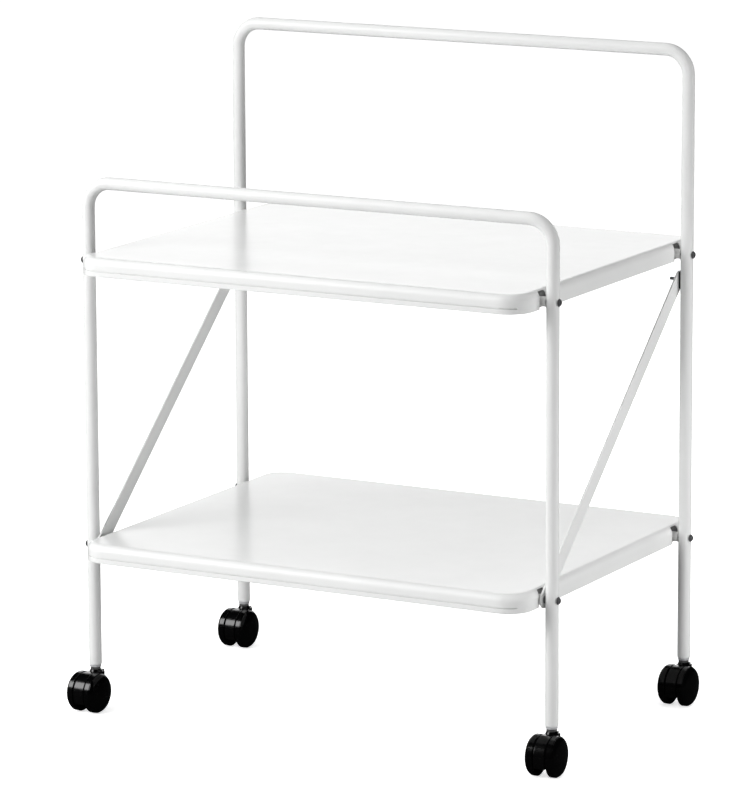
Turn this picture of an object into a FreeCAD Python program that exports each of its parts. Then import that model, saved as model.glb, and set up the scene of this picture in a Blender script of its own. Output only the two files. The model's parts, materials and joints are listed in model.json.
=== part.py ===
import FreeCAD, Part
import math
import os
import re

import Sketcher

# Rolling utility cart: two inverted-U tube frames carry two pressed steel trays and stand on
# four twin-wheel casters.  Millimetres.  +Z is up, +X runs along the handle bars and +Y from
# the low handle to the high one.  The origin is on the floor under the middle of the cart.
SIZES = {
    # tube frames
    "leg_spacing_x": 639.0,
    "leg_spacing_y": 372.0,
    "tube_radius": 8.0,
    "tube_bore_radius": 6.8,
    "tube_foot": 58.6,
    "bend_radius": 31.0,
    "low_bar": 669.5,
    "high_bar": 826.0,
    # shelves
    "shelf_width": 613.0,
    "shelf_depth": 487.0,
    "shelf_height": 23.0,
    "shelf_sheet": 1.2,
    "shelf_corner": 32.0,
    "shelf_edge": 9.0,
    "upper_shelf_base": 563.0,
    "lower_shelf_base": 203.5,
    "screw_rise": 9.0,
    "hem_height": 9.0,
    "hem_round": 1.0,
    "seam_rise": 6.3,
    "seam_width": 1.4,
    "seam_depth": 1.6,
    "slot_width": 18.0,
    "slot_top": 21.5,
    "slot_round": 3.0,
    # brackets, spacers and fasteners of the shelves
    "bracket_width": 30.0,
    "bracket_sheet": 2.0,
    "bracket_foot": 16.0,
    "bracket_base": 1.5,
    "bracket_setback": 3.0,
    "bracket_corner": 2.0,
    "bracket_bend": 0.8,
    "spacer_radius": 6.0,
    "screw_hole_radius": 2.75,
    "screw_radius": 2.5,
    "screw_head_radius": 4.8,
    "screw_head_flat": 2.2,
    "screw_head_height": 2.8,
    "screw_overrun": 3.0,
    "socket_flats": 3.0,
    "socket_depth": 1.6,
    "nut_flats": 8.0,
    "nut_height": 4.0,
    # braces
    "brace_width": 21.2,
    "brace_sheet": 2.0,
    "brace_rear": 540.5,
    "washer_radius": 5.0,
    "washer_sheet": 1.5,
    "pad_width": 6.0,
    "pad_height": 21.0,
    "pad_drop": 1.3,
    "stud_length": 14.5,
    "stud_radius": 2.0,
    "stud_hole_radius": 2.25,
    "stud_nut_flats": 7.0,
    "stud_nut_height": 2.0,
    "cut_overrun": 5.0,
    # casters
    "wheel_radius": 25.2,
    "caster_trail": 15.3,
    "front_splay": 3.0,
    "spine_width": 15.0,
    "spine_radius": 24.7,
    "spine_tip_angle": 28.0,
    "spine_arch_radius": 78.0,
    "spine_round": 1.0,
    "boss_top": 51.8,
    "boss_rise": 3.8,
    "boss_radius": 8.2,
    "boss_tip_radius": 6.4,
    "boss_flare": 1.5,
    "boss_floor": 2.0,
    "lug_reach": 14.5,
    "lug_length": 6.0,
    "lug_drop": 3.2,
    "lug_height": 6.0,
    "lug_width": 6.0,
    "hub_height": 0.6,
    "axle_radius": 2.5,
    "axle_length": 36.0,
    "axle_end_gap": 0.6,
    "running_gap": 0.06,
    "wheel_inner": 8.4,
    "wheel_outer": 22.8,
    "wheel_hub_radius": 6.0,
    "wheel_web": 16.4,
    "wheel_rim_radius": 21.9,
    "web_draft": 1.0,
    "hub_draft": 0.5,
    "rim_draft": 2.4,
    "tread_round": 0.7,
    "tread_taper": 0.2,
    "tread_end": 14.9,
    "tread_step": 0.8,
    "step_width": 0.8,
    "shoulder_reach": 20.1,
    "shoulder_radius": 18.6,
    "shoulder_round": 8.0,
    "stem_foot_radius": 5.0,
    "stem_thread_radius": 4.0,
    "thread_length": 26.0,
    "foot_length": 17.0,
    "groove_low": 13.0,
    "groove_high": 11.0,
    "groove_depth": 0.6,
    "hex_gap": 0.3,
    "hex_flats": 11.0,
    "hex_height": 2.4,
    "collar_height": 3.8,
    "collar_radius": 7.2,
    "collar_edge": 0.8,
    "neck_radius": 6.0,
    "neck_height": 0.9,
    "plug_length": 25.0,
    "plug_chamfer": 1.0,
    "stem_chamfer": 1.0,
}

CORNERS = {
    "front_left": (-1, -1),
    "front_right": (1, -1),
    "rear_left": (-1, 1),
    "rear_right": (1, 1),
}

doc = FreeCAD.newDocument("rolling_utility_cart")
sheet = doc.addObject("Spreadsheet::Sheet", "sizes")
for row, (alias, size) in enumerate(SIZES.items(), start=1):
    sheet.set(f"A{row}", alias)
    sheet.set(f"B{row}", str(size))
    sheet.setAlias(f"B{row}", alias)
scratch = doc.addObject("Spreadsheet::Sheet", "scratch")
doc.recompute()
nodes = []


# ---- helpers: every size is an expression in the words of the sheet -------------------------

def cells(expression):
    """The expression with each word of the sheet spelled as a reference to its cell."""
    return re.sub(r"[a-z_]+", lambda word: "sizes." + word.group() if word.group() in SIZES
                  else word.group(), str(expression))


def number(expression):
    """What the expression comes to with the sheet's present sizes."""
    scratch.set("A1", "=" + cells(expression))
    scratch.recompute()
    return float(scratch.get("A1"))


def bind(feature, prop, expression):
    feature.setExpression(prop, cells(expression))


def place(feature, x="0", y="0", z="0", turn="0"):
    """Sets the feature's place, and its turn about the upright in degrees."""
    for axis, expression in zip("xyz", (x, y, z)):
        bind(feature, "Placement.Base." + axis, expression)
    bind(feature, "Placement.Rotation.Angle", turn)


def new_body(label, node=True):
    body = doc.addObject("PartDesign::Body", label)
    body.Label = label
    if node:
        nodes.append(body)
    return body


def group(label, members):
    """Identical pieces that share one node."""
    compound = doc.addObject("Part::Compound", label)
    compound.Label = label
    compound.Links = members
    nodes.append(compound)


def origin_feature(body, role):
    return next(item for item in body.Origin.OriginFeatures if item.Role == role)


def new_sketch(body, plane, offset="0"):
    """A sketch on one of the body's origin planes, moved along the plane's normal."""
    sketch = body.newObject("Sketcher::SketchObject", body.Label + "_sketch")
    sketch.AttachmentSupport = [(origin_feature(body, plane), "")]
    sketch.MapMode = "FlatFace"
    bind(sketch, "AttachmentOffset.Base.z", offset)
    return sketch


def hold(sketch, kind, *where, size):
    """A dimension of the sketch, bound to the sheet."""
    index = sketch.addConstraint(Sketcher.Constraint(kind, *where, number(size)))
    sketch.setExpression(f"Constraints[{index}]", cells(size))


def circle(sketch, x, y, radius):
    centre = FreeCAD.Vector(number(x), number(y), 0)
    index = sketch.addGeometry(Part.Circle(centre, FreeCAD.Vector(0, 0, 1), number(radius)))
    hold(sketch, "DistanceX", index, 3, size=x)
    hold(sketch, "DistanceY", index, 3, size=y)
    hold(sketch, "Radius", index, size=radius)


def arc_between(start, end, radius, turn):
    """The short arc from start to end; turn is 1 for anticlockwise and -1 for clockwise."""
    middle = (start + end) / 2
    chord = end - start
    rise = math.sqrt(max(radius ** 2 - (chord.Length / 2) ** 2, 0.0))
    across = FreeCAD.Vector(-chord.y, chord.x, 0).normalize()
    centre = middle + across * rise * turn
    round_ = Part.Circle(centre, FreeCAD.Vector(0, 0, 1), radius)
    first, last = (start, end) if turn > 0 else (end, start)
    angles = [math.atan2(point.y - centre.y, point.x - centre.x) for point in (first, last)]
    if angles[1] < angles[0]:
        angles[1] += 2 * math.pi
    return Part.ArcOfCircle(round_, *angles)


def outline(sketch, steps, closed=True):
    """A chain of straight runs (x, y) and arcs (x, y, radius, turn), each held at its end."""
    points = [FreeCAD.Vector(number(step[0]), number(step[1]), 0) for step in steps]
    legs = list(range(len(steps))) if closed else list(range(1, len(steps)))
    ends = []
    for leg in legs:
        start, end, step = points[leg - 1], points[leg], steps[leg]
        if len(step) == 2:
            index = sketch.addGeometry(Part.LineSegment(start, end))
            start_pos, end_pos = 1, 2
        else:
            radius, turn = step[2:]
            index = sketch.addGeometry(arc_between(start, end, number(radius), turn))
            start_pos, end_pos = (1, 2) if turn > 0 else (2, 1)
            hold(sketch, "Radius", index, size=radius)
        hold(sketch, "DistanceX", index, end_pos, size=step[0])
        hold(sketch, "DistanceY", index, end_pos, size=step[1])
        ends.append((index, start_pos, end_pos))
    joints = list(zip(ends, ends[1:]))
    if closed:
        joints.append((ends[-1], ends[0]))
    for before, after in joints:
        meeting = (before[0], before[2], after[0], after[1])
        sketch.addConstraint(Sketcher.Constraint("Coincident", *meeting))
    if not closed:
        hold(sketch, "DistanceX", ends[0][0], ends[0][1], size=steps[0][0])
        hold(sketch, "DistanceY", ends[0][0], ends[0][1], size=steps[0][1])


def box_outline(sketch, left, bottom, right, top):
    outline(sketch, [(left, bottom), (right, bottom), (right, top), (left, top)])


def hexagon(sketch, x, y, flats):
    """A regular hexagon with two corners above and below its centre."""
    corners = []
    for index in range(6):
        angle = 60 * index + 30
        corners.append((f"{x} + {flats} / sqrt(3) * cos({angle})",
                        f"{y} + {flats} / sqrt(3) * sin({angle})"))
    outline(sketch, corners)


def pad(body, sketch, length, both_ways=False, backwards=False):
    feature = body.newObject("PartDesign::Pad", body.Label + "_pad")
    feature.Profile = sketch
    bind(feature, "Length", length)
    feature.SideType = "Symmetric" if both_ways else "One side"
    feature.Reversed = backwards
    doc.recompute()
    return feature


def cut(body, sketch, length, both_ways=False, backwards=False):
    """A pocket that is checked to have removed something."""
    before = body.Shape.Volume
    feature = body.newObject("PartDesign::Pocket", body.Label + "_pocket")
    feature.Profile = sketch
    bind(feature, "Length", length)
    feature.SideType = "Symmetric" if both_ways else "One side"
    feature.Reversed = backwards
    doc.recompute()
    if not body.Shape.Volume < before:
        raise RuntimeError(body.Label + ": a pocket cut nothing")
    return feature


def spin(body, sketch, axis, kind="Revolution"):
    feature = body.newObject("PartDesign::" + kind, body.Label + "_turned")
    feature.Profile = sketch
    feature.ReferenceAxis = (sketch, [axis])
    feature.Angle = 360
    doc.recompute()
    return feature


def soften(body, base, radius, wanted):
    """A fillet of the edges of the base feature for which wanted(edge) is true."""
    names = [f"Edge{index}" for index, edge in enumerate(base.Shape.Edges, start=1) if wanted(edge)]
    feature = body.newObject("PartDesign::Fillet", body.Label + "_fillet")
    feature.Base = (base, names)
    bind(feature, "Radius", radius)
    doc.recompute()
    return feature


def is_upright(edge):
    return edge.BoundBox.XLength < 0.01 and edge.BoundBox.YLength < 0.01


def is_level_at(edge, height):
    return abs(edge.BoundBox.ZMin - height) < 0.01 and abs(edge.BoundBox.ZMax - height) < 0.01


def cap_round(wide, narrow, height):
    """Radius of the ball cap, centred on the axis, between two radii a height apart."""
    depth = f"(({wide})^2 - ({narrow})^2 - ({height})^2) / (2 * ({height}))"
    return f"sqrt(({wide})^2 + ({depth})^2)"


# ---- tube frames ------------------------------------------------------------------------------

def make_frame_tube(label, side_y, bar):
    """An inverted U of round tube: leg, bend, handle bar, bend, leg; drilled for the screws."""
    body = new_body(label)
    half = "leg_spacing_x / 2"
    spine = new_sketch(body, "XZ_Plane")
    outline(spine, [
        (f"-{half}", "tube_foot"),
        (f"-{half}", f"{bar} - bend_radius"),
        (f"-{half} + bend_radius", bar, "bend_radius", -1),
        (f"{half} - bend_radius", bar),
        (half, f"{bar} - bend_radius", "bend_radius", -1),
        (half, "tube_foot"),
    ], closed=False)
    ring = new_sketch(body, "XY_Plane", "tube_foot")
    circle(ring, f"-{half}", "0", "tube_radius")
    circle(ring, f"-{half}", "0", "tube_bore_radius")
    pipe = body.newObject("PartDesign::AdditivePipe", label + "_pipe")
    pipe.Profile = ring
    pipe.Spine = spine
    doc.recompute()
    holes = new_sketch(body, "YZ_Plane")
    for base in ("upper_shelf_base", "lower_shelf_base"):
        circle(holes, "0", f"{base} + screw_rise", "screw_hole_radius")
    cut(body, holes, "leg_spacing_x + 2 * tube_radius + 2 * cut_overrun", both_ways=True)
    place(body, y=f"{side_y} * leg_spacing_y / 2")


make_frame_tube("front_frame_tube", -1, "low_bar")
make_frame_tube("rear_frame_tube", 1, "high_bar")


# ---- shelves -----------------------------------------------------------------------------------

def strip_outline(sketch, side, outer, inner):
    """A strip along the front or back, between two depths, that runs half-way round both corners."""
    flat_x = "(shelf_width / 2 - shelf_corner)"
    flat_y = "(shelf_depth / 2 - shelf_corner)"
    steps = []
    for reach, sense in ((outer, 1), (inner, -1)):
        x = f"({flat_x} + ({reach}) * sin(45))"
        y = f"{side} * ({flat_y} + ({reach}) * cos(45))"
        flat = f"{side} * ({flat_y} + ({reach}))"
        steps += [
            (f"{sense} * -{x}", y),
            (f"{sense} * -{flat_x}", flat, reach, -sense * side),
            (f"{sense} * {flat_x}", flat),
            (f"{sense} * {x}", y, reach, -sense * side),
        ]
    outline(sketch, steps)


def make_shelf(label, base):
    """A pressed tray, open below: soft top edge, hem in front and back, slots at the legs."""
    body = new_body(label)
    plan = new_sketch(body, "XY_Plane")
    box_outline(plan, "-shelf_width / 2", "-shelf_depth / 2", "shelf_width / 2", "shelf_depth / 2")
    block = pad(body, plan, "shelf_height")
    corners = soften(body, block, "shelf_corner", is_upright)
    height = number("shelf_height")
    edges = soften(body, corners, "shelf_edge", lambda edge: is_level_at(edge, height))
    shell = body.newObject("PartDesign::Thickness", label + "_sheet")
    faces = enumerate(edges.Shape.Faces, start=1)
    shell.Base = (edges, [f"Face{index}" for index, face in faces if face.BoundBox.ZMax < 0.01])
    bind(shell, "Value", "shelf_sheet")
    shell.Join = "Intersection"
    shell.Reversed = True
    doc.recompute()
    for side in (-1, 1):
        hem = new_sketch(body, "XY_Plane")
        strip_outline(hem, side, "shelf_corner - shelf_sheet / 2", "shelf_corner - 2 * shelf_sheet")
        folded = pad(body, hem, "hem_height")
    front = -number("shelf_depth") / 2
    soften(body, folded, "hem_round",
           lambda edge: is_level_at(edge, 0) and abs(edge.BoundBox.YMax - front) < 0.01)
    for side in (-1, 1):
        seam = new_sketch(body, "XY_Plane", "seam_rise")
        strip_outline(seam, side, "shelf_corner + cut_overrun", "shelf_corner - seam_depth")
        cut(body, seam, "seam_width", backwards=True)
    slots = new_sketch(body, "YZ_Plane")
    for side in (-1, 1):
        middle = f"{side} * leg_spacing_y / 2"
        left, right = f"{middle} - slot_width / 2", f"{middle} + slot_width / 2"
        outline(slots, [
            (left, "-cut_overrun"),
            (right, "-cut_overrun"),
            (right, "slot_top - slot_round"),
            (f"{right} - slot_round", "slot_top", "slot_round", 1),
            (f"{left} + slot_round", "slot_top"),
            (left, "slot_top - slot_round", "slot_round", 1),
        ])
    cut(body, slots, "shelf_width + 2 * cut_overrun", both_ways=True)
    place(body, z=base)


for level in ("upper", "lower"):
    make_shelf(f"{level}_shelf", f"{level}_shelf_base")


# ---- what joins the shelves to the legs ----------------------------------------------------------

BRACKET_FACE = "shelf_width / 2 - shelf_sheet - bracket_setback"
LEG_FACE = "leg_spacing_x / 2 - tube_radius"
BRACE_FACE = f"{LEG_FACE} - washer_sheet"


def make_bracket(label, base, side_x, side_y):
    """An angle welded under the tray: its upright leg stands behind the slot and takes the screw."""
    body = new_body(label)
    profile = new_sketch(body, "XZ_Plane")
    face = f"{side_x} * ({BRACKET_FACE})"
    back = f"{side_x} * ({BRACKET_FACE} - bracket_sheet)"
    foot = f"{side_x} * ({BRACKET_FACE} - bracket_foot)"
    top = "shelf_height - shelf_sheet"
    outline(profile, [
        (face, "bracket_base"),
        (face, f"{top} - bracket_corner"),
        (f"{side_x} * (shelf_width / 2 - shelf_edge)", top),
        (foot, top),
        (foot, f"{top} - bracket_sheet"),
        (f"{back} - {side_x} * bracket_bend", f"{top} - bracket_sheet"),
        (back, f"{top} - bracket_sheet - bracket_bend"),
        (back, "bracket_base"),
    ])
    pad(body, profile, "bracket_width", both_ways=True)
    hole = new_sketch(body, "YZ_Plane")
    circle(hole, "0", "screw_rise", "screw_hole_radius")
    cut(body, hole, "shelf_width + 2 * cut_overrun", both_ways=True)
    place(body, y=f"{side_y} * leg_spacing_y / 2", z=base)


def make_ring(label, side_x, outer_face, y, z, length, radius, hole):
    """A spacer or washer that reaches from its outer face towards the middle of the cart."""
    body = new_body(label, node=False)
    ring = new_sketch(body, "YZ_Plane")
    circle(ring, "0", "0", radius)
    circle(ring, "0", "0", hole)
    pad(body, ring, length, backwards=side_x > 0)
    place(body, x=f"{side_x} * ({outer_face})", y=y, z=z)
    return body


def make_nut(label, side_x, outer_face, y, z, height, flats, hole):
    """A hex nut that reaches from its outer face towards the middle of the cart."""
    body = new_body(label, node=False)
    plan = new_sketch(body, "YZ_Plane")
    hexagon(plan, "0", "0", flats)
    circle(plan, "0", "0", hole)
    pad(body, plan, height, backwards=side_x > 0)
    place(body, x=f"{side_x} * ({outer_face})", y=y, z=z)
    return body


def make_screw(label, base, side_x, side_y):
    """A button-head socket screw that goes in through the leg from outside."""
    body = new_body(label, node=False)
    half = new_sketch(body, "XZ_Plane")
    seat = "leg_spacing_x / 2 + tube_radius"
    tip = f"{BRACKET_FACE} - bracket_sheet - nut_height - screw_overrun"
    top = f"{seat} + screw_head_height"
    dome = cap_round("screw_head_radius", "screw_head_flat", "screw_head_height")
    outline(half, [
        (f"{side_x} * ({tip})", "0"),
        (f"{side_x} * ({top})", "0"),
        (f"{side_x} * ({top})", "screw_head_flat"),
        (f"{side_x} * ({seat})", "screw_head_radius", dome, side_x),
        (f"{side_x} * ({seat})", "screw_radius"),
        (f"{side_x} * ({tip})", "screw_radius"),
    ])
    spin(body, half, "H_Axis")
    drive = new_sketch(body, "YZ_Plane", f"{side_x} * ({top})")
    hexagon(drive, "0", "0", "socket_flats")
    cut(body, drive, "socket_depth", backwards=side_x < 0)
    place(body, y=f"{side_y} * leg_spacing_y / 2", z=f"{base} + screw_rise")
    return body


for level in ("upper", "lower"):
    base = f"{level}_shelf_base"
    spacers, nuts, screws = [], [], []
    for corner, (side_x, side_y) in CORNERS.items():
        at = (f"{side_y} * leg_spacing_y / 2", f"{base} + screw_rise")
        braced = level == "lower" and side_y < 0
        outer_face = f"{BRACE_FACE} - brace_sheet" if braced else LEG_FACE
        make_bracket(f"{level}_shelf_bracket_{corner}", base, side_x, side_y)
        spacers.append(make_ring(f"{level}_spacer_{corner}", side_x, outer_face, *at,
                                 f"({outer_face}) - ({BRACKET_FACE})",
                                 "spacer_radius", "screw_hole_radius"))
        nuts.append(make_nut(f"{level}_nut_{corner}", side_x, f"{BRACKET_FACE} - bracket_sheet",
                             *at, "nut_height", "nut_flats", "screw_radius"))
        screws.append(make_screw(f"{level}_screw_{corner}", base, side_x, side_y))
    group(f"{level}_shelf_spacers", spacers)
    group(f"{level}_shelf_nuts", nuts)
    group(f"{level}_shelf_screws", screws)


# ---- braces ---------------------------------------------------------------------------------------

def make_brace(label, side_x):
    """A flat strip with round ends, from the lower front screw up to the rear leg's stud."""
    body = new_body(label)
    low_y, low_z = "(-leg_spacing_y / 2)", "(lower_shelf_base + screw_rise)"
    high_y, high_z = "(leg_spacing_y / 2)", "brace_rear"
    rise = f"({high_z} - {low_z})"
    run = f"sqrt({rise} * {rise} + leg_spacing_y * leg_spacing_y)"
    across_y = f"(brace_width / 2 * {rise} / {run})"
    across_z = f"(brace_width / 2 * leg_spacing_y / {run})"
    strip = new_sketch(body, "YZ_Plane", f"{side_x} * ({BRACE_FACE} - brace_sheet)")
    tip_y = f"(brace_width / 2 * leg_spacing_y / {run})"
    tip_z = f"(brace_width / 2 * {rise} / {run})"
    outline(strip, [
        (f"{low_y} + {across_y}", f"{low_z} - {across_z}", "brace_width / 2", 1),
        (f"{high_y} + {across_y}", f"{high_z} - {across_z}"),
        (f"{high_y} + {tip_y}", f"{high_z} + {tip_z}", "brace_width / 2", 1),
        (f"{high_y} - {across_y}", f"{high_z} + {across_z}", "brace_width / 2", 1),
        (f"{low_y} - {across_y}", f"{low_z} + {across_z}"),
        (f"{low_y} - {tip_y}", f"{low_z} - {tip_z}", "brace_width / 2", 1),
    ])
    circle(strip, low_y, low_z, "screw_hole_radius")
    circle(strip, high_y, high_z, "stud_hole_radius")
    pad(body, strip, "brace_sheet", backwards=side_x < 0)


def make_pad(label, side_x):
    """The upright strip that keeps the brace's rear end clear of the round leg."""
    body = new_body(label)
    plan = new_sketch(body, "YZ_Plane")
    box_outline(plan, "-pad_width / 2", "-pad_height / 2 - pad_drop",
                "pad_width / 2", "pad_height / 2 - pad_drop")
    circle(plan, "0", "0", "stud_hole_radius")
    pad(body, plan, "washer_sheet", backwards=side_x > 0)
    place(body, x=f"{side_x} * ({LEG_FACE})", y="leg_spacing_y / 2", z="brace_rear")


def make_stud(label, side_x):
    body = new_body(label, node=False)
    plan = new_sketch(body, "YZ_Plane")
    circle(plan, "0", "0", "stud_radius")
    pad(body, plan, "stud_length", backwards=side_x > 0)
    place(body, x=f"{side_x} * ({LEG_FACE})", y="leg_spacing_y / 2", z="brace_rear")
    return body


studs, brace_nuts, washers = [], [], []
inner_washer_face = f"{BRACE_FACE} - brace_sheet"
for side_name, side_x in (("left", -1), ("right", 1)):
    make_brace(f"brace_{side_name}", side_x)
    make_pad(f"brace_pad_{side_name}", side_x)
    studs.append(make_stud(f"stud_{side_name}", side_x))
    rear = ("leg_spacing_y / 2", "brace_rear")
    front = ("-leg_spacing_y / 2", "lower_shelf_base + screw_rise")
    brace_nuts.append(make_nut(f"brace_nut_{side_name}", side_x,
                               f"{inner_washer_face} - washer_sheet", *rear,
                               "stud_nut_height", "stud_nut_flats", "stud_radius"))
    for spot, face, at, hole in (
            ("front", LEG_FACE, front, "screw_hole_radius"),
            ("rear", inner_washer_face, rear, "stud_hole_radius")):
        washers.append(make_ring(f"washer_{spot}_{side_name}", side_x, face, *at,
                                 "washer_sheet", "washer_radius", hole))
group("brace_studs", studs)
group("brace_nuts", brace_nuts)
group("brace_washers", washers)


# ---- casters --------------------------------------------------------------------------------------

def make_socket(label, x, y):
    """The threaded insert in the open tube end: a plug, a narrow neck and a collar below it."""
    body = new_body(label)
    half = new_sketch(body, "XZ_Plane")
    outline(half, [
        ("stem_thread_radius", "tube_foot - collar_height"),
        ("collar_radius - collar_edge", "tube_foot - collar_height"),
        ("collar_radius", "tube_foot - collar_height + collar_edge"),
        ("collar_radius", "tube_foot - neck_height"),
        ("neck_radius", "tube_foot - neck_height"),
        ("neck_radius", "tube_foot"),
        ("tube_bore_radius", "tube_foot"),
        ("tube_bore_radius", "tube_foot + plug_length - plug_chamfer"),
        ("tube_bore_radius - plug_chamfer", "tube_foot + plug_length"),
        ("stem_thread_radius", "tube_foot + plug_length"),
    ])
    spin(body, half, "V_Axis")
    place(body, x=x, y=y)


def make_stem(label, x, y):
    """Threaded above, a hex collar on top of the hood, and a grooved foot that the hood snaps on."""
    body = new_body(label)
    half = new_sketch(body, "XZ_Plane")
    outline(half, [
        ("0", "boss_top - foot_length"),
        ("stem_foot_radius - stem_chamfer", "boss_top - foot_length"),
        ("stem_foot_radius", "boss_top - foot_length + stem_chamfer"),
        ("stem_foot_radius", "boss_top - groove_low"),
        ("stem_foot_radius - groove_depth", "boss_top - groove_low"),
        ("stem_foot_radius - groove_depth", "boss_top - groove_high"),
        ("stem_foot_radius", "boss_top - groove_high"),
        ("stem_foot_radius", "boss_top + hex_gap"),
        ("stem_thread_radius", "boss_top + hex_gap"),
        ("stem_thread_radius", "boss_top + thread_length"),
        ("0", "boss_top + thread_length"),
    ])
    spin(body, half, "V_Axis")
    collar = new_sketch(body, "XY_Plane", "boss_top + hex_gap")
    hexagon(collar, "0", "0", "hex_flats")
    pad(body, collar, "hex_height")
    place(body, x=x, y=y)


def make_hood(label, x, y, turn):
    """Spine between the wheels, stem boss on top, hubs for the axle and a small lug behind."""
    body = new_body(label)
    axle_y = "(-caster_trail)"
    reach = "spine_radius * cos(spine_tip_angle)"
    tip_z = "wheel_radius - spine_radius * sin(spine_tip_angle)"
    side = new_sketch(body, "YZ_Plane")
    outline(side, [
        (f"{axle_y} + {reach}", tip_z, "spine_arch_radius", -1),
        (f"{axle_y} + spine_radius", "wheel_radius", "spine_radius", 1),
        (f"{axle_y} + spine_radius", "boss_top - boss_rise"),
        (axle_y, "wheel_radius + spine_radius"),
        (f"{axle_y} - spine_radius", "wheel_radius", "spine_radius", 1),
        (f"{axle_y} - {reach}", tip_z, "spine_radius", 1),
    ])
    spine = pad(body, side, "spine_width", both_ways=True)
    soften(body, spine, "spine_round", lambda edge: edge.BoundBox.XLength < 0.01)
    boss = new_sketch(body, "XZ_Plane")
    outline(boss, [
        ("0", "boss_top - foot_length - boss_floor"),
        ("spine_width / 2 - spine_round", "boss_top - foot_length - boss_floor"),
        ("spine_width / 2 - spine_round", "boss_top - boss_rise - boss_flare"),
        ("boss_radius", "boss_top - boss_rise"),
        ("boss_tip_radius", "boss_top"),
        ("0", "boss_top"),
    ])
    spin(body, boss, "V_Axis")
    lug = new_sketch(body, "YZ_Plane")
    box_outline(lug, "lug_reach - lug_length", "boss_top - lug_drop - lug_height",
                "lug_reach", "boss_top - lug_drop")
    pad(body, lug, "lug_width", both_ways=True)
    hubs = new_sketch(body, "YZ_Plane")
    circle(hubs, axle_y, "wheel_radius", "wheel_hub_radius")
    pad(body, hubs, "spine_width + 2 * hub_height", both_ways=True)
    axle_hole = new_sketch(body, "YZ_Plane")
    circle(axle_hole, axle_y, "wheel_radius", "axle_radius")
    cut(body, axle_hole, "axle_length", both_ways=True)
    bore = new_sketch(body, "XZ_Plane")
    wide = "stem_foot_radius + running_gap"
    narrow = "stem_foot_radius - groove_depth + running_gap"
    outline(bore, [
        ("0", "boss_top - foot_length - hex_gap"),
        (wide, "boss_top - foot_length - hex_gap"),
        (wide, "boss_top - groove_low + hex_gap"),
        (narrow, "boss_top - groove_low + hex_gap"),
        (narrow, "boss_top - groove_high - hex_gap"),
        (wide, "boss_top - groove_high - hex_gap"),
        (wide, "boss_top + cut_overrun"),
        ("0", "boss_top + cut_overrun"),
    ])
    spin(body, bore, "V_Axis", kind="Groove")
    place(body, x=x, y=y, turn=turn)


def place_on_axle(body, x, y, turn):
    """The axle trails in front of the leg and turns with the hood."""
    place(body, x=f"{x} + caster_trail * sin({turn})", y=f"{y} - caster_trail * cos({turn})",
          z="wheel_radius", turn=turn)


def make_axle(label, x, y, turn):
    body = new_body(label)
    plan = new_sketch(body, "YZ_Plane")
    circle(plan, "0", "0", "axle_radius")
    pad(body, plan, "axle_length", both_ways=True)
    place_on_axle(body, x, y, turn)


def make_wheel(label, x, y, turn, side):
    """A domed wheel, hollow towards the spine, turned about the axle; side is its end of it."""
    body = new_body(label)
    bore = "axle_radius + running_gap"
    bore_end = "axle_length / 2 + axle_end_gap"
    step = "wheel_radius - tread_step"
    dome = cap_round("shoulder_radius", "0", "wheel_outer - shoulder_reach")
    half = new_sketch(body, "XZ_Plane")
    profile = [
        ("wheel_inner", bore),
        ("wheel_inner", "wheel_hub_radius"),
        ("wheel_web + web_draft", "wheel_hub_radius + hub_draft"),
        ("wheel_web", "wheel_rim_radius - rim_draft"),
        ("wheel_inner", "wheel_rim_radius"),
        ("wheel_inner", "wheel_radius - tread_round"),
        ("wheel_inner + tread_round", "wheel_radius"),
        ("tread_end", "wheel_radius - tread_taper"),
        ("tread_end + tread_taper", step),
        ("tread_end + step_width", step),
        ("shoulder_reach", "shoulder_radius", "shoulder_round", -1),
        ("wheel_outer", "0", dome, -1),
        (bore_end, "0"),
        (bore_end, bore),
    ]
    mirrored = []
    for along, out, *bend in profile:
        arc = (bend[0], bend[1] * side) if bend else ()
        mirrored.append((f"{side} * ({along})", out, *arc))
    outline(half, mirrored)
    spin(body, half, "H_Axis")
    place_on_axle(body, x, y, turn)


for corner, (side_x, side_y) in CORNERS.items():
    leg = (f"{side_x} * leg_spacing_x / 2", f"{side_y} * leg_spacing_y / 2")
    turn = f"{side_x} * front_splay" if side_y < 0 else "0"
    make_socket(f"caster_{corner}_socket", *leg)
    make_stem(f"caster_{corner}_stem", *leg)
    make_hood(f"caster_{corner}_hood", *leg, turn)
    make_axle(f"caster_{corner}_axle", *leg, turn)
    make_wheel(f"caster_{corner}_wheel_left", *leg, turn, -1)
    make_wheel(f"caster_{corner}_wheel_right", *leg, turn, 1)


# ---- check and write --------------------------------------------------------------------------------

doc.recompute()
failed = [item.Label for item in doc.Objects if {"Invalid", "Error"} & set(item.State)]
failed += [node.Label for node in nodes if node.Shape.isNull() or not node.Shape.isValid()]
if failed:
    raise RuntimeError("failed: " + ", ".join(failed))
os.makedirs("parts", exist_ok=True)
for node in nodes:
    node.Shape.exportStep(f"parts/{node.Label}.step")
print(len(nodes), "nodes written")
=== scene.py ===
"""Looks of the rolling utility cart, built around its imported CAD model.  Metres."""

import json
import math
from typing import NamedTuple

import bpy
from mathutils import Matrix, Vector

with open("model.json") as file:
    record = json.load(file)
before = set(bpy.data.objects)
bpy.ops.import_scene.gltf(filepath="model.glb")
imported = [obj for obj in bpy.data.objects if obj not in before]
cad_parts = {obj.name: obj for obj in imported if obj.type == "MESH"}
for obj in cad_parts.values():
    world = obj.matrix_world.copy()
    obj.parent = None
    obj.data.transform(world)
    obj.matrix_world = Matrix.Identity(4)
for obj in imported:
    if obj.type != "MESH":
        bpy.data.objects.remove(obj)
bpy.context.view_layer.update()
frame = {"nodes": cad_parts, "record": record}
nodes = frame["nodes"]


# ---- camera values ----------------------------------------------------------------------------
# Azimuths and elevations are in degrees: azimuth 0 is in front of the cart, 90 at its right.

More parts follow.
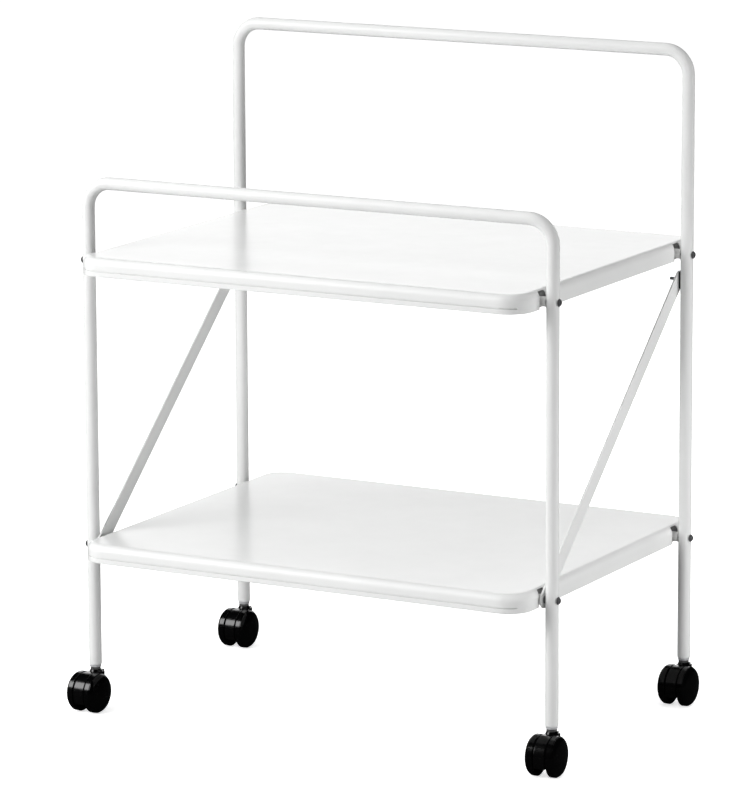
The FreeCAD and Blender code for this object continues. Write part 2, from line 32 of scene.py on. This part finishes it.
CAMERA_TARGET = Vector((0.02484, -0.09651, 0.42026))
CAMERA_DISTANCE = 5.9909
CAMERA_AZIMUTH = 28.633
CAMERA_ELEVATION = 11.366
CAMERA_ROLL = -0.252
CAMERA_LENS_MM = 224.38
SENSOR_MM = 36.0
CAMERA_REACH = 100.0


# ---- material values --------------------------------------------------------------------------

class Finish(NamedTuple):
    """How a surface varies: noise scales are waves per metre, heights are metres."""
    tone_scale: float
    tone_factors: tuple  # the darkest and the lightest tone, as parts of the colour
    gloss_scale: float
    gloss_detail: float
    gloss_offsets: tuple  # the smoothest and the roughest spot, added to the roughness
    bump_scale: float
    bump_detail: float
    bump_height: float
    bump_strength: float
    bump_stretch: tuple = None  # squeezes the bumps along X, Y and Z


class Look(NamedTuple):
    """A material: its name, colour, roughness, finish and kind of shine."""
    name: str
    colour: tuple
    rough: float
    finish: Finish
    metallic: float = 0.0
    specular: float = 0.5


# Baked powder coat: faint orange peel, a slight drift of tone and gloss.
POWDER_COAT = Finish(
    tone_scale=14.0, tone_factors=(0.95, 1.02),
    gloss_scale=40.0, gloss_detail=2.0, gloss_offsets=(-0.03, 0.03),
    bump_scale=180.0, bump_detail=1.0, bump_height=0.00005, bump_strength=0.12)
# Injection-moulded plastic: spark-eroded grain and a slight drift of tone.
MOULDED = Finish(
    tone_scale=120.0, tone_factors=(1.0, 1.35),
    gloss_scale=300.0, gloss_detail=4.0, gloss_offsets=(-0.04, 0.07),
    bump_scale=3500.0, bump_detail=2.0, bump_height=0.00004, bump_strength=0.5)
FINELY_MOULDED = MOULDED._replace(bump_height=0.00001)
# Plated steel: mottled plating, with fine turning marks on the turned pieces.
PLATED = Finish(
    tone_scale=500.0, tone_factors=(0.8, 1.0),
    gloss_scale=900.0, gloss_detail=4.0, gloss_offsets=(-0.06, 0.1),
    bump_scale=900.0, bump_detail=2.0, bump_height=0.00006, bump_strength=0.4)
PLATED_AND_TURNED = PLATED._replace(bump_stretch=(1.0, 1.0, 6.0))

SLOT_LOOKS = {
    "white_enamel": Look("white_enamel_coat", (0.84, 0.845, 0.84), 0.22, POWDER_COAT, specular=0.18),
    "white_plastic": Look("white_spacer_plastic", (0.72, 0.72, 0.71), 0.45, MOULDED),
    "black_plastic": Look("black_hood_plastic", (0.0015, 0.0015, 0.0016), 0.17, FINELY_MOULDED),
    "black_wheel": Look("black_wheel_plastic", (0.001, 0.001, 0.0011), 0.15, FINELY_MOULDED),
    "black_steel": Look("black_nickel_steel", (0.24, 0.24, 0.25), 0.2, PLATED, metallic=0.6),
    "zinc_steel": Look("zinc_plated_steel", (0.88, 0.89, 0.91), 0.3, PLATED_AND_TURNED, metallic=0.35),
}
# Pieces with these words in their names take darker steel than their slot says, as painted shade: the
# dark brackets paint the shade inside the trays' flange slots, and the dark stems paint the shade in
# the narrow neck between each caster's collar and hood.
SHADE_PAINTED_STEEL_LOOKS = {
    "bracket": Look("bracket_steel_painted_shade", (0.3, 0.3, 0.3), 0.42, PLATED, metallic=0.3),
    "stem": Look("stem_steel_painted_shade", (0.2, 0.2, 0.2), 0.3, PLATED, metallic=0.5),
}


# ---- floor and light values -------------------------------------------------------------------

FLOOR_HALF_SIZE = 40.0
FLOOR_ROUGHNESS = 0.9
FLOOR_GLOW = 0.65
FLOOR_BOUNCE = 0.32
FLOOR_IN_GLOSS = 0.02
CEILING_GLOW = 0.85
CEILING_FADE = 2.0
LIGHT_TARGET = Vector((0.0, 0.0, 0.35))

# Name: azimuth, elevation, distance, width, height, watts.
# The softboxes light every surface, but their shapes don't show in the gloss.
SOFTBOXES = {
    "front_left_softbox": (330, 28, 3.2, 1.5, 1.5, 49.0),
    "left_softbox": (315, 12, 3.2, 1.5, 1.2, 40.0),
    "top_softbox": (0, 88, 3.0, 2.0, 2.0, 9.0),
    "rear_softbox": (180, 14, 3.2, 1.5, 1.2, 27.0),
    "right_softbox": (95, -6, 1.4, 0.9, 0.4, 8.6),
    "low_front_softbox": (10, -8, 1.2, 0.9, 0.3, 1.5),
}
# The cards show only in the gloss.
MIRRORED_CARDS = {
    "key_card": (315, 28, 3.2, 1.5, 1.5, 51.0),
    "backdrop_card": (208.6, 12, 3.2, 2.6, 1.6, 22.0),
}


# ---- helpers ----------------------------------------------------------------------------------

def direction(azimuth, elevation):
    """The unit vector towards an azimuth and elevation in degrees."""
    turn = math.radians(azimuth)
    rise = math.radians(elevation)
    return Vector((math.sin(turn) * math.cos(rise), -math.cos(turn) * math.cos(rise), math.sin(rise)))


def add_object(name, data):
    added = bpy.data.objects.new(name, data)
    bpy.context.scene.collection.objects.link(added)
    return added


def aim(thing, along):
    """Turns a camera or light to look along a vector, upright."""
    thing.rotation_euler = along.to_track_quat("-Z", "Y").to_euler()


def grey(value):
    return (value, value, value, 1.0)


# ---- camera -----------------------------------------------------------------------------------

def make_camera():
    data = bpy.data.cameras.new("camera")
    data.sensor_fit = "VERTICAL"
    data.sensor_height = SENSOR_MM
    data.lens = CAMERA_LENS_MM
    data.clip_end = CAMERA_REACH
    camera = add_object("camera", data)
    back = direction(CAMERA_AZIMUTH, CAMERA_ELEVATION)
    camera.location = CAMERA_TARGET + back * CAMERA_DISTANCE
    aim(camera, -back)
    camera.rotation_euler.rotate_axis("Z", math.radians(CAMERA_ROLL))
    bpy.context.scene.camera = camera


# ---- materials --------------------------------------------------------------------------------

def new_material(name, rough, metallic, specular):
    material = bpy.data.materials.new(name)
    material.use_nodes = True
    shader = material.node_tree.nodes["Principled BSDF"]
    shader.inputs["Roughness"].default_value = rough
    shader.inputs["Metallic"].default_value = metallic
    shader.inputs["Specular IOR Level"].default_value = specular
    return material, shader


def noise(tree, where, scale, detail=3.0, stretch=None):
    """Noise over the object's own metres."""
    if stretch:
        mapping = tree.nodes.new("ShaderNodeMapping")
        mapping.inputs["Scale"].default_value = stretch
        tree.links.new(where, mapping.inputs["Vector"])
        where = mapping.outputs["Vector"]
    texture = tree.nodes.new("ShaderNodeTexNoise")
    texture.inputs["Scale"].default_value = scale
    texture.inputs["Detail"].default_value = detail
    tree.links.new(where, texture.inputs["Vector"])
    return texture.outputs["Fac"]


def colour_between(tree, factor, colour, factors):
    """The factor spread from the darker to the lighter tone of a colour."""
    node = tree.nodes.new("ShaderNodeValToRGB")
    for element, part in zip(node.color_ramp.elements, factors):
        element.color = (*(channel * part for channel in colour), 1.0)
    tree.links.new(factor, node.inputs["Fac"])
    return node.outputs["Color"]


def value_between(tree, factor, low, high):
    """The factor spread over a range of plain values."""
    node = tree.nodes.new("ShaderNodeMapRange")
    node.inputs["To Min"].default_value = low
    node.inputs["To Max"].default_value = high
    tree.links.new(factor, node.inputs["Value"])
    return node.outputs["Result"]


def bumps(tree, height, distance, strength):
    node = tree.nodes.new("ShaderNodeBump")
    node.inputs["Distance"].default_value = distance
    node.inputs["Strength"].default_value = strength
    tree.links.new(height, node.inputs["Height"])
    return node.outputs["Normal"]


def make_material(look):
    """A material whose tone, gloss and relief vary as the look's finish says."""
    finish = look.finish
    material, shader = new_material(look.name, look.rough, look.metallic, look.specular)
    tree = material.node_tree
    where = tree.nodes.new("ShaderNodeTexCoord").outputs["Object"]
    tone_noise = noise(tree, where, finish.tone_scale)
    tone = colour_between(tree, tone_noise, look.colour, finish.tone_factors)
    tree.links.new(tone, shader.inputs["Base Color"])
    gloss_noise = noise(tree, where, finish.gloss_scale, finish.gloss_detail)
    smoothest, roughest = (look.rough + offset for offset in finish.gloss_offsets)
    gloss = value_between(tree, gloss_noise, smoothest, roughest)
    tree.links.new(gloss, shader.inputs["Roughness"])
    relief = noise(tree, where, finish.bump_scale, finish.bump_detail, finish.bump_stretch)
    normal = bumps(tree, relief, finish.bump_height, finish.bump_strength)
    tree.links.new(normal, shader.inputs["Normal"])
    return material


def dress_nodes():
    """Each CAD node takes the look of its slot in the record, or, for brackets and stems, a darker
    steel that paints shade.
    """
    slot_materials = {slot: make_material(look) for slot, look in SLOT_LOOKS.items()}
    shade_painted_steel_materials = {word: make_material(look) for word, look in SHADE_PAINTED_STEEL_LOOKS.items()}
    for part in frame["record"]["subparts"]:
        material = slot_materials[part["material_slot"]]
        # Brackets and stems take the darker steel, as painted shade in the slots and the caster necks.
        for word, steel in shade_painted_steel_materials.items():
            if word in part["node"]:
                material = steel
        mesh = nodes[part["node"]].data
        mesh.materials.clear()
        mesh.materials.append(material)


# ---- floor and light --------------------------------------------------------------------------

def diffuse(tree, value):
    node = tree.nodes.new("ShaderNodeBsdfDiffuse")
    node.inputs["Color"].default_value = grey(value)
    return node


def make_floor():
    """A wide floor as white as paper to the eye, and dimmer in what it gives to the cart."""
    size = FLOOR_HALF_SIZE
    mesh = bpy.data.meshes.new("floor")
    corners = [(-size, -size, 0.0), (size, -size, 0.0), (size, size, 0.0), (-size, size, 0.0)]
    mesh.from_pydata(corners, [], [(0, 1, 2, 3)])
    floor = add_object("floor", mesh)
    material, seen = new_material("floor_paper", FLOOR_ROUGHNESS, metallic=0.0, specular=0.0)
    seen.inputs["Base Color"].default_value = grey(1.0)
    seen.inputs["Emission Color"].default_value = grey(1.0)
    seen.inputs["Emission Strength"].default_value = FLOOR_GLOW
    tree = material.node_tree
    shade = diffuse(tree, FLOOR_BOUNCE).outputs["BSDF"]
    ray = tree.nodes.new("ShaderNodeLightPath")
    for kind, shader in (("Is Glossy Ray", diffuse(tree, FLOOR_IN_GLOSS)), ("Is Camera Ray", seen)):
        mix = tree.nodes.new("ShaderNodeMixShader")
        tree.links.new(ray.outputs[kind], mix.inputs["Fac"])
        tree.links.new(shade, mix.inputs[1])
        tree.links.new(shader.outputs["BSDF"], mix.inputs[2])
        shade = mix.outputs["Shader"]
    tree.links.new(shade, tree.nodes["Material Output"].inputs["Surface"])
    mesh.materials.append(material)


def math_node(tree, operation, first, second):
    node = tree.nodes.new("ShaderNodeMath")
    node.operation = operation
    node.inputs[1].default_value = second
    tree.links.new(first, node.inputs[0])
    return node.outputs["Value"]


def make_world():
    """A dim ceiling glow that fades towards the horizon and doesn't show in the gloss."""
    world = bpy.data.worlds.new("studio")
    bpy.context.scene.world = world
    world.use_nodes = True
    tree = world.node_tree
    place = tree.nodes.new("ShaderNodeTexCoord")
    axes = tree.nodes.new("ShaderNodeSeparateXYZ")
    tree.links.new(place.outputs["Generated"], axes.inputs["Vector"])
    rise = math_node(tree, "MAXIMUM", axes.outputs["Z"], 0.0)
    faded = math_node(tree, "POWER", rise, CEILING_FADE)
    glow = math_node(tree, "MULTIPLY", faded, CEILING_GLOW)
    background = tree.nodes["Background"]
    background.inputs["Color"].default_value = grey(1.0)
    tree.links.new(glow, background.inputs["Strength"])
    world.cycles_visibility.glossy = False


def make_light(name, azimuth, elevation, distance, width, height, watts):
    """A rectangular light that faces the middle of the cart."""
    data = bpy.data.lights.new(name, "AREA")
    data.shape = "RECTANGLE"
    data.size = width
    data.size_y = height
    data.energy = watts
    light = add_object(name, data)
    light.location = LIGHT_TARGET + direction(azimuth, elevation) * distance
    aim(light, LIGHT_TARGET - light.location)
    return light


def make_lights():
    for table, in_gloss in ((SOFTBOXES, False), (MIRRORED_CARDS, True)):
        for name, values in table.items():
            light = make_light(name, *values)
            light.visible_glossy = in_gloss
            light.visible_diffuse = not in_gloss


def set_view():
    view = bpy.context.scene.view_settings
    view.view_transform = "Standard"
    view.look = "None"


make_camera()
dress_nodes()
make_floor()
make_world()
make_lights()
set_view()
